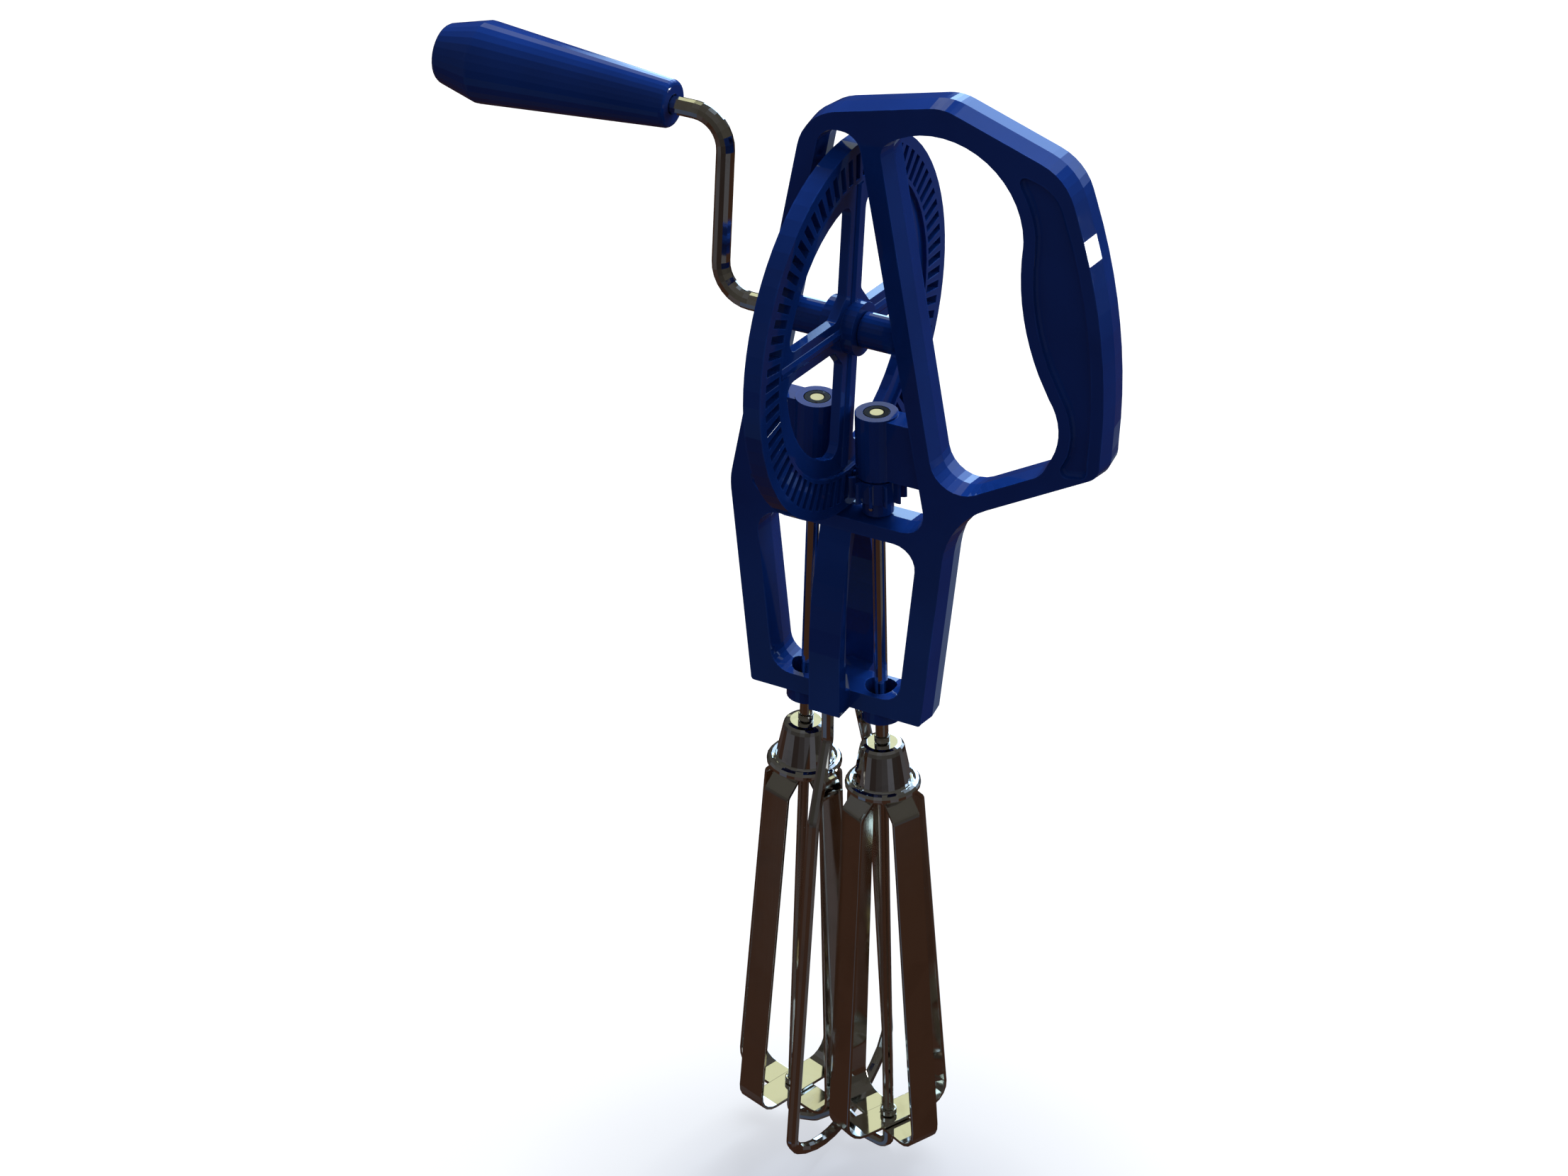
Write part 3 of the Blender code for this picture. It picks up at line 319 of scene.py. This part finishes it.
def round_edges(node, width, steps):
    """Small roundings on a node's sharp edges, with the large faces still shaded flat."""
    node.modifiers.new("weld", "WELD").merge_threshold = WELD_DISTANCE
    if node.name == "frame":
        node.modifiers.new("ridge", "NODES").node_group = ridge_group()
    edges = node.modifiers.new("edges", "BEVEL")
    edges.width = width
    edges.segments = steps
    edges.limit_method = "ANGLE"
    edges.angle_limit = ROUNDED_ABOVE
    edges.use_clamp_overlap = True
    edges.miter_outer = "MITER_ARC"
    normals = node.modifiers.new("normals", "WEIGHTED_NORMAL")
    normals.keep_sharp = True
    normals.weight = NORMAL_WEIGHT


def dress_nodes():
    """Give every CAD node its material and its rounding."""
    surfaces = {
        "blue_plastic": blue_plastic(), "dark_steel": dark_steel(), "chrome": chrome(),
        "black_bush": black_bush(),
    }
    slots = {row["node"]: row["material_slot"] for row in frame["record"]["subparts"]}
    for node in frame["nodes"].values():
        for slot in node.material_slots:
            slot.material = surfaces[slots[node.name]]
        rounding = rounding_of(node.name)
        if rounding:
            round_edges(node, *rounding)


# ---------------------------------------------------------------- studio
def softbox_mask(tree, azimuth, height, where, size, softness):
    """1 inside a softbox of the studio: azimuth in degrees, height is the direction's z."""
    across = maths(tree, "ABSOLUTE", maths(tree, "SUBTRACT", azimuth, where[0]))
    upward = maths(tree, "ABSOLUTE", maths(tree, "SUBTRACT", height, where[1]))
    beside = remap(tree, across, (size[0], size[0] + SOFT_DEGREES * softness), (1.0, 0.0))
    above = remap(tree, upward, (size[1], size[1] + softness), (1.0, 0.0))
    return maths(tree, "MULTIPLY", beside, above)


def reflected_studio(tree, direction, height, level):
    """Dark studio with pale streaks and softboxes."""
    turn = maths(tree, "ARCTAN2", direction.outputs["Y"], direction.outputs["X"])
    azimuth = maths(tree, "MULTIPLY", turn, math.degrees(1.0))
    cloud = noise(tree, scale=5.0, detail=3.0, stretch=(1.0, 1.0, 0.15), source="Generated")
    pale = remap(tree, cloud, (0.54, 0.64), (0.0, 0.5))
    colour = mix_colour(tree, pale, ramp(tree, level, REFLECTED_STOPS), STREAK)
    for where, size, softness, glow in SOFTBOXES:
        mask = softbox_mask(tree, azimuth, height, where, size, softness)
        colour = mix_colour(tree, mask, colour, (*glow, 1.0))
    return colour


def studio_world():
    """Dark studio with softboxes in reflections, plain white behind, soft light on matt surfaces."""
    world = bpy.data.worlds.new("studio")
    world.use_nodes = True
    bpy.context.scene.world = world
    tree = world.node_tree
    tree.nodes.clear()
    place = add(tree, "ShaderNodeTexCoord")
    direction = add(tree, "ShaderNodeSeparateXYZ")
    feed(tree, place.outputs["Generated"], direction.inputs["Vector"])
    height = direction.outputs["Z"]
    level = remap(tree, height, (-1.0, 1.0), (0.0, 1.0))
    mirrored = reflected_studio(tree, direction, height, level)
    lit = ramp(tree, level, LIGHTING_STOPS)
    path = add(tree, "ShaderNodeLightPath")
    colour = mix_colour(tree, path.outputs["Is Glossy Ray"], lit, mirrored)
    colour = mix_colour(tree, path.outputs["Is Camera Ray"], colour, WHITE)
    background = add(tree, "ShaderNodeBackground")
    output = add(tree, "ShaderNodeOutputWorld")
    feed(tree, colour, background.inputs["Color"])
    feed(tree, background.outputs["Background"], output.inputs["Surface"])


def studio_lamps(centre):
    """Soft lamps aimed at the object, which reflections don't show."""
    for name, offset, size, power in LAMPS:
        data = bpy.data.lights.new(name, "AREA")
        data.shape = "RECTANGLE"
        data.size = size[0]
        data.size_y = size[1]
        data.energy = power
        data.color = SKY
        lamp = bpy.data.objects.new(name, data)
        lamp.location = centre + offset
        lamp.rotation_mode = "QUATERNION"
        lamp.rotation_quaternion = (-offset).to_track_quat("-Z", "Y")
        lamp.visible_glossy = False
        bpy.context.scene.collection.objects.link(lamp)


# ---------------------------------------------------------------- floor and camera
def floor_material(shade_middle):
    """Pale matt floor with a soft cool shade under the object."""
    made, tree, shader = new_material("floor")
    tree.nodes.remove(shader)
    geometry = add(tree, "ShaderNodeNewGeometry")
    away = add(tree, "ShaderNodeVectorMath", operation="DISTANCE")
    feed(tree, geometry.outputs["Position"], away.inputs[0])
    feed(tree, shade_middle, away.inputs[1])
    share = remap(tree, away.outputs["Value"], (0.0, SHADE_REACH), (0.0, 1.0))
    shade = ramp(tree, share, SHADE_STOPS)
    glow = add(tree, "ShaderNodeEmission")
    feed(tree, shade, glow.inputs["Color"])
    feed(tree, FLOOR_GLOW, glow.inputs["Strength"])
    matt = add(tree, "ShaderNodeBsdfDiffuse")
    feed(tree, shade, matt.inputs["Color"])
    blend = add(tree, "ShaderNodeMixShader")
    feed(tree, FLOOR_MATT_SHARE, blend.inputs[0])
    feed(tree, glow.outputs["Emission"], blend.inputs[1])
    feed(tree, matt.outputs["BSDF"], blend.inputs[2])
    feed(tree, blend.outputs["Shader"], tree.nodes["Material Output"].inputs["Surface"])
    return made


def build_floor(middle):
    """Square floor under the object, which only the camera sees."""
    half = FLOOR_SIZE / 2
    mesh = bpy.data.meshes.new("floor")
    corners = [(-half, -half, 0), (half, -half, 0), (half, half, 0), (-half, half, 0)]
    mesh.from_pydata(corners, [], [(0, 1, 2, 3)])
    mesh.materials.append(floor_material(middle + SHADE_OFFSET))
    floor = bpy.data.objects.new("floor", mesh)
    floor.location = middle
    floor.visible_glossy = False
    floor.visible_diffuse = False
    bpy.context.scene.collection.objects.link(floor)


def crank_axle():
    return next(Vector(joint["pos_m"]) for joint in frame["joints"] if joint["name"] == "crank_turn")


def build_camera():
    data = bpy.data.cameras.new("camera")
    data.lens = LENS
    data.sensor_width = SENSOR_WIDTH
    data.clip_start = NEAREST_SEEN
    data.clip_end = FARTHEST_SEEN
    camera = bpy.data.objects.new("camera", data)
    turn = Matrix.Rotation(VIEW_AZIMUTH, 4, "Z")
    tilt = Matrix.Rotation(math.pi / 2 - VIEW_ELEVATION, 4, "X")
    camera.matrix_world = Matrix.Translation(crank_axle() + CAMERA_FROM_AXLE) @ turn @ tilt
    bpy.context.scene.collection.objects.link(camera)
    bpy.context.scene.camera = camera


def main():
    bpy.context.scene.view_settings.view_transform = "Standard"
    dress_nodes()
    studio_world()
    studio_lamps(Vector((0.0, 0.0, (CAD_LOW.z + CAD_HIGH.z) / 2)))
    build_floor(Vector((0.0, 0.0, CAD_LOW.z)))
    build_camera()


main()
